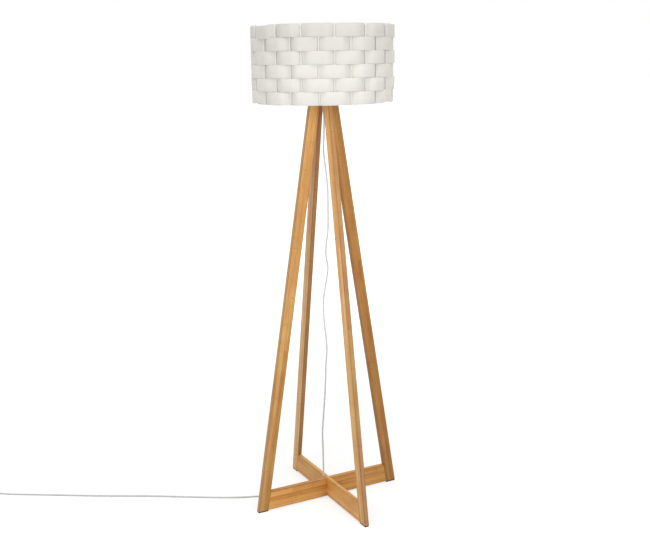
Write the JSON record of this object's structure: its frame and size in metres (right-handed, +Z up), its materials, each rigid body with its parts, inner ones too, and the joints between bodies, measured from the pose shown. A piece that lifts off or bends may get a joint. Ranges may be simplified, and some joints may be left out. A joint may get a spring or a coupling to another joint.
{
  "type": "floor lamp",
  "caption": "Floor lamp: a tall stand of crossed bamboo frames under a drum shade woven from white strips, with lampholder, bulb, cord, switch and plug.",
  "frame": {"origin": "on the floor, on the lamp's vertical centre line, where the two rails cross", "axes": "+Z up; X along one frame of the stand, towards its back right foot as pictured; Y along the other frame, towards its back left foot; the picture's camera stands at -X and -Y, nearer to -Y"},
  "size_m": [1.3895, 0.8851, 1.4799],
  "materials": {
    "bamboo": "clear satin lacquer over laminated bamboo",
    "beech": "bare turned dowel",
    "dark_rubber": "matt",
    "zinc_steel": "zinc plated",
    "brass": "plain",
    "white_plastic": "satin",
    "white_strip": "matt, slightly translucent",
    "white_wire": "powder coated",
    "porcelain": "glazed",
    "opal_glass": "opal",
    "black_insulator": "gloss",
    "cord_white": "satin"
  },
  "bodies": {
    "stand": {"leg_back_right": "bamboo", "foot_pad_back_right": "dark_rubber", "plate_screw_back_right": "zinc_steel", "leg_back_left": "bamboo", "foot_pad_back_left": "dark_rubber", "plate_screw_back_left": "zinc_steel", "leg_front_left": "bamboo", "foot_pad_front_left": "dark_rubber", "plate_screw_front_left": "zinc_steel", "leg_front_right": "bamboo", "foot_pad_front_right": "dark_rubber", "plate_screw_front_right": "zinc_steel", "dowel_back_right_1": "beech", "dowel_back_right_2": "beech", "dowel_back_left_1": "beech", "dowel_back_left_2": "beech", "dowel_front_left_1": "beech", "dowel_front_left_2": "beech", "dowel_front_right_1": "beech", "dowel_front_right_2": "beech", "rail_along_x": "bamboo", "rail_along_y": "bamboo", "top_plate": "zinc_steel", "threaded_tube": "zinc_steel", "tube_washer": "zinc_steel", "tube_nut": "zinc_steel", "cord_grip": "white_plastic", "grip_screw": "white_plastic", "cord_inner_lead": "cord_white", "lampholder_cap": "white_plastic", "lampholder_core": "porcelain", "lampholder_contact": "brass", "lampholder_shell": "white_plastic", "shade_ring_lower": "white_plastic", "shade_frame": "white_wire", "shade_fitter": "white_wire", "cord_run": "cord_white", "cord_tail": "cord_white", "cord_coil": "cord_white", "cord_tie": "white_plastic", "switch_base": "white_plastic", "switch_cover": "white_plastic", "plug_body": "white_plastic", "plug_pin_1": "brass", "plug_pin_2": "brass", "shade_strip_1": "white_strip", "shade_strip_2": "white_strip", "shade_strip_3": "white_strip", "shade_strip_4": "white_strip", "shade_strip_5": "white_strip", "shade_strip_6": "white_strip"},
    "shade_ring": {"shade_ring_upper": "white_plastic"},
    "bulb": {"bulb_contact": "zinc_steel", "bulb_insulator": "black_insulator", "bulb_cap": "zinc_steel", "bulb_inner_post": "white_plastic", "bulb_glass": "opal_glass"},
    "rocker": {"switch_rocker": "white_plastic"}
  },
  "joints": [
    {"name": "bulb_lift", "type": "slide", "parent": "stand", "child": "bulb", "axis": [0, 0, 1], "range_m": [0, 0.17]},
    {"name": "shade_ring_turn", "type": "hinge", "parent": "stand", "child": "shade_ring", "pos_m": [0, 0, 1.33], "axis": [0, 0, 1], "continuous": true},
    {"name": "switch_rocker_tilt", "type": "hinge", "parent": "stand", "child": "rocker", "pos_m": [-1.00724, 0.57598, 0.0133], "axis": [-0.5286, -0.8489, 0], "range_deg": [-18, 0]}
  ]
}
